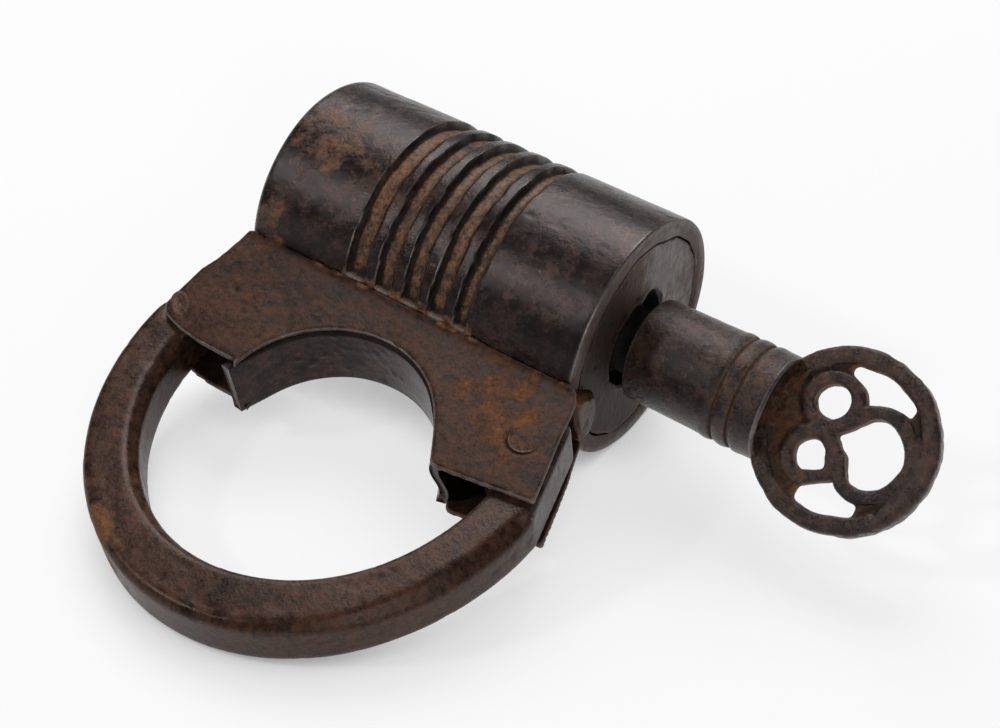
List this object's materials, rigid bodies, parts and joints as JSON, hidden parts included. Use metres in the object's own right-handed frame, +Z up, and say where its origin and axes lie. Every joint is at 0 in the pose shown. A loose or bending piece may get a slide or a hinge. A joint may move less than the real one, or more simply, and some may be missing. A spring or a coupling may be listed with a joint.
{
  "type": "screw-key padlock",
  "caption": "Old forged iron padlock with a grooved barrel, a flat shackle hinged between cheeks, and a pierced screw key standing in its hole.",
  "frame": {"origin": "on the surface the lock lies on, below the middle of its overall box", "axes": "+X along the barrel towards the key, -Y towards the shackle's bow, +Z up"},
  "size_m": [0.1056, 0.0892, 0.036],
  "materials": {
    "barrel_iron": "aged forged iron, dark brown-black patina with rust in the grooves",
    "filed_iron": "filed grey iron with brown stains",
    "cheek_iron": "rusty brown forged plate",
    "rivet_iron": "worn rivet heads, rust brown",
    "shackle_iron": "forged flat bar, brown patina, rubbed edges, orange rust patches",
    "inner_iron": "dull oiled iron",
    "spring_steel": "dark spring steel",
    "key_iron": "dark forged iron, satin where handled, rust in the turned lines"
  },
  "bodies": {
    "case": {"barrel_tube": "barrel_iron", "blind_end_plate": "filed_iron", "key_end_plate": "filed_iron", "guide_plate": "inner_iron", "upper_cheek": "cheek_iron", "lower_cheek": "cheek_iron", "housing_web": "cheek_iron", "toe_guard": "cheek_iron", "hinge_rivet": "rivet_iron", "stay_rivet": "rivet_iron", "spring_seat": "inner_iron"},
    "shackle": {"shackle": "shackle_iron"},
    "bolt": {"bolt_piston": "inner_iron", "bolt_nose": "inner_iron", "bolt_guide_rod": "inner_iron", "bolt_spring": "spring_steel"},
    "key": {"key_screw": "key_iron", "key_shank": "key_iron", "key_bow": "key_iron"}
  },
  "joints": [
    {"name": "shackle_swing", "type": "hinge", "parent": "case", "child": "shackle", "pos_m": [-0.04893, -0.00613, 0.01243], "axis": [0, 0.2222, -0.975], "range_deg": [0, 95]},
    {"name": "bolt_slide", "type": "slide", "parent": "case", "child": "bolt", "axis": [1, 0, 0], "range_m": [0, 0.0075]},
    {"name": "key_turn", "type": "hinge", "parent": "bolt", "child": "key", "pos_m": [0.00847, 0.02611, 0.01742], "axis": [1, 0, 0], "range_deg": [0, 1080]}
  ],
  "couplings": [
    {"joint": "key_turn", "follows": "bolt_slide", "rad_per_m": 2513.3}
  ]
}
